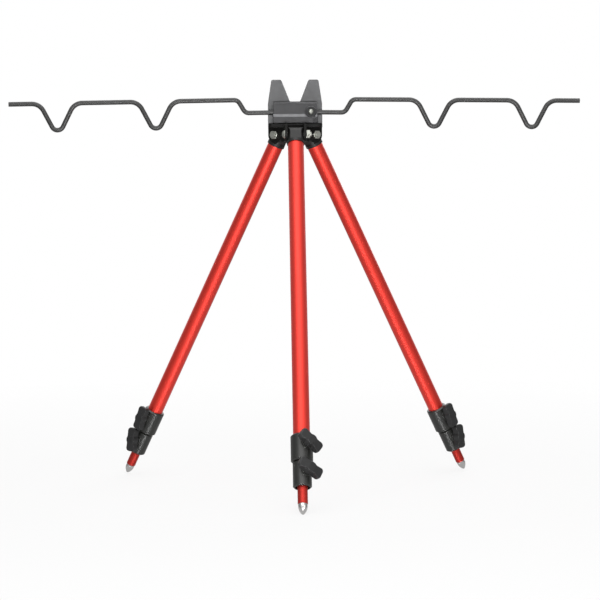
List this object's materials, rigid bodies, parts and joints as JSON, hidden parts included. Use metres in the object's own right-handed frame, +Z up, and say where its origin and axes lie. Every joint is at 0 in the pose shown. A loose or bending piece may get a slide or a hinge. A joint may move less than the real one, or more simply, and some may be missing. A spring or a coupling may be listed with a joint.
{
  "type": "rod pod",
  "caption": "Tripod rest for fishing rods with telescopic clamped legs that fold in, a notched head and folding bent-wire arms with V rests.",
  "frame": {"origin": "on the ground, straight under the head's axis, with the legs opened and closed up", "axes": "+Z up, +X along the right arm, -Y along the front leg"},
  "size_m": [0.7272, 0.3991, 0.5179],
  "materials": {
    "red_anodised": "satin anodised",
    "grey_plastic": "moulded",
    "dark_grey_plastic": "moulded",
    "black_plastic": "moulded",
    "knob_plastic": "moulded",
    "coated_wire": "coated",
    "zinc": "zinc plated",
    "bright_steel": "nickel plated",
    "brass": "turned",
    "nylon": "natural"
  },
  "bodies": {
    "head": {"crown": "black_plastic", "head_body": "grey_plastic", "front_cover": "dark_grey_plastic", "arm_pivot_screws": "zinc", "arm_pivot_nuts": "zinc", "crown_bolt": "zinc", "crown_insert": "brass", "hinge_bolts": "zinc", "hinge_nuts": "zinc"},
    "right_arm": {"right_arm": "coated_wire"},
    "left_arm": {"left_arm": "coated_wire"},
    "front_leg": {"front_cap": "black_plastic", "front_upper_tube": "red_anodised", "front_upper_collar": "black_plastic"},
    "front_middle": {"front_middle_tube": "red_anodised", "front_middle_bush": "nylon", "front_lower_collar": "black_plastic"},
    "front_lower": {"front_lower_tube": "red_anodised", "front_lower_bush": "nylon", "front_spike": "bright_steel"},
    "front_upper_clamp": {"front_upper_knob": "knob_plastic", "front_upper_stud": "zinc"},
    "front_lower_clamp": {"front_lower_knob": "knob_plastic", "front_lower_stud": "zinc"},
    "right_leg": {"right_cap": "black_plastic", "right_upper_tube": "red_anodised", "right_upper_collar": "black_plastic"},
    "right_middle": {"right_middle_tube": "red_anodised", "right_middle_bush": "nylon", "right_lower_collar": "black_plastic"},
    "right_lower": {"right_lower_tube": "red_anodised", "right_lower_bush": "nylon", "right_spike": "bright_steel"},
    "right_upper_clamp": {"right_upper_knob": "knob_plastic", "right_upper_stud": "zinc"},
    "right_lower_clamp": {"right_lower_knob": "knob_plastic", "right_lower_stud": "zinc"},
    "left_leg": {"left_cap": "black_plastic", "left_upper_tube": "red_anodised", "left_upper_collar": "black_plastic"},
    "left_middle": {"left_middle_tube": "red_anodised", "left_middle_bush": "nylon", "left_lower_collar": "black_plastic"},
    "left_lower": {"left_lower_tube": "red_anodised", "left_lower_bush": "nylon", "left_spike": "bright_steel"},
    "left_upper_clamp": {"left_upper_knob": "knob_plastic", "left_upper_stud": "zinc"},
    "left_lower_clamp": {"left_lower_knob": "knob_plastic", "left_lower_stud": "zinc"}
  },
  "joints": [
    {"name": "right_arm_fold", "type": "hinge", "parent": "head", "child": "right_arm", "pos_m": [0.0197, -0.004, 0.47615], "axis": [0, -1, 0], "range_deg": [0, 85]},
    {"name": "left_arm_fold", "type": "hinge", "parent": "head", "child": "left_arm", "pos_m": [-0.0197, -0.004, 0.47615], "axis": [0, 1, 0], "range_deg": [0, 85]},
    {"name": "front_leg_fold", "type": "hinge", "parent": "head", "child": "front_leg", "pos_m": [0, -0.022, 0.44765], "axis": [1, 0, 0], "range_deg": [0, 28.3]},
    {"name": "front_middle_slide", "type": "slide", "parent": "front_leg", "child": "front_middle", "axis": [0, -0.4741, -0.8805], "range_m": [0, 0.3567]},
    {"name": "front_lower_slide", "type": "slide", "parent": "front_middle", "child": "front_lower", "axis": [0, -0.4741, -0.8805], "range_m": [0, 0.3747]},
    {"name": "front_upper_clamp_turn", "type": "hinge", "parent": "front_leg", "child": "front_upper_clamp", "pos_m": [0, -0.22273, 0.07486], "axis": [0.4848, -0.7701, 0.4146], "range_deg": [0, 270]},
    {"name": "front_lower_clamp_turn", "type": "hinge", "parent": "front_middle", "child": "front_lower_clamp", "pos_m": [0, -0.23852, 0.04554], "axis": [0.4848, -0.7701, 0.4146], "range_deg": [0, 270]},
    {"name": "right_leg_fold", "type": "hinge", "parent": "head", "child": "right_leg", "pos_m": [0.01905, 0.011, 0.44765], "axis": [-0.5, 0.866, 0], "range_deg": [0, 28.3]},
    {"name": "right_middle_slide", "type": "slide", "parent": "right_leg", "child": "right_middle", "axis": [0.4106, 0.237, -0.8805], "range_m": [0, 0.3567]},
    {"name": "right_lower_slide", "type": "slide", "parent": "right_middle", "child": "right_lower", "axis": [0.4106, 0.237, -0.8805], "range_m": [0, 0.3747]},
    {"name": "right_upper_clamp_turn", "type": "hinge", "parent": "right_leg", "child": "right_upper_clamp", "pos_m": [0.19289, 0.11136, 0.07486], "axis": [0.6476, -0.7556, 0.0986], "range_deg": [0, 270]},
    {"name": "right_lower_clamp_turn", "type": "hinge", "parent": "right_middle", "child": "right_lower_clamp", "pos_m": [0.20656, 0.11926, 0.04554], "axis": [0.6476, -0.7556, 0.0986], "range_deg": [0, 270]},
    {"name": "left_leg_fold", "type": "hinge", "parent": "head", "child": "left_leg", "pos_m": [-0.01905, 0.011, 0.44765], "axis": [-0.5, -0.866, 0], "range_deg": [0, 28.3]},
    {"name": "left_middle_slide", "type": "slide", "parent": "left_leg", "child": "left_middle", "axis": [-0.4106, 0.237, -0.8805], "range_m": [0, 0.3567]},
    {"name": "left_lower_slide", "type": "slide", "parent": "left_middle", "child": "left_lower", "axis": [-0.4106, 0.237, -0.8805], "range_m": [0, 0.3747]},
    {"name": "left_upper_clamp_turn", "type": "hinge", "parent": "left_leg", "child": "left_upper_clamp", "pos_m": [-0.19289, 0.11136, 0.07486], "axis": [-0.6476, -0.7556, 0.0986], "range_deg": [0, 270]},
    {"name": "left_lower_clamp_turn", "type": "hinge", "parent": "left_middle", "child": "left_lower_clamp", "pos_m": [-0.20656, 0.11926, 0.04554], "axis": [-0.6476, -0.7556, 0.0986], "range_deg": [0, 270]}
  ]
}
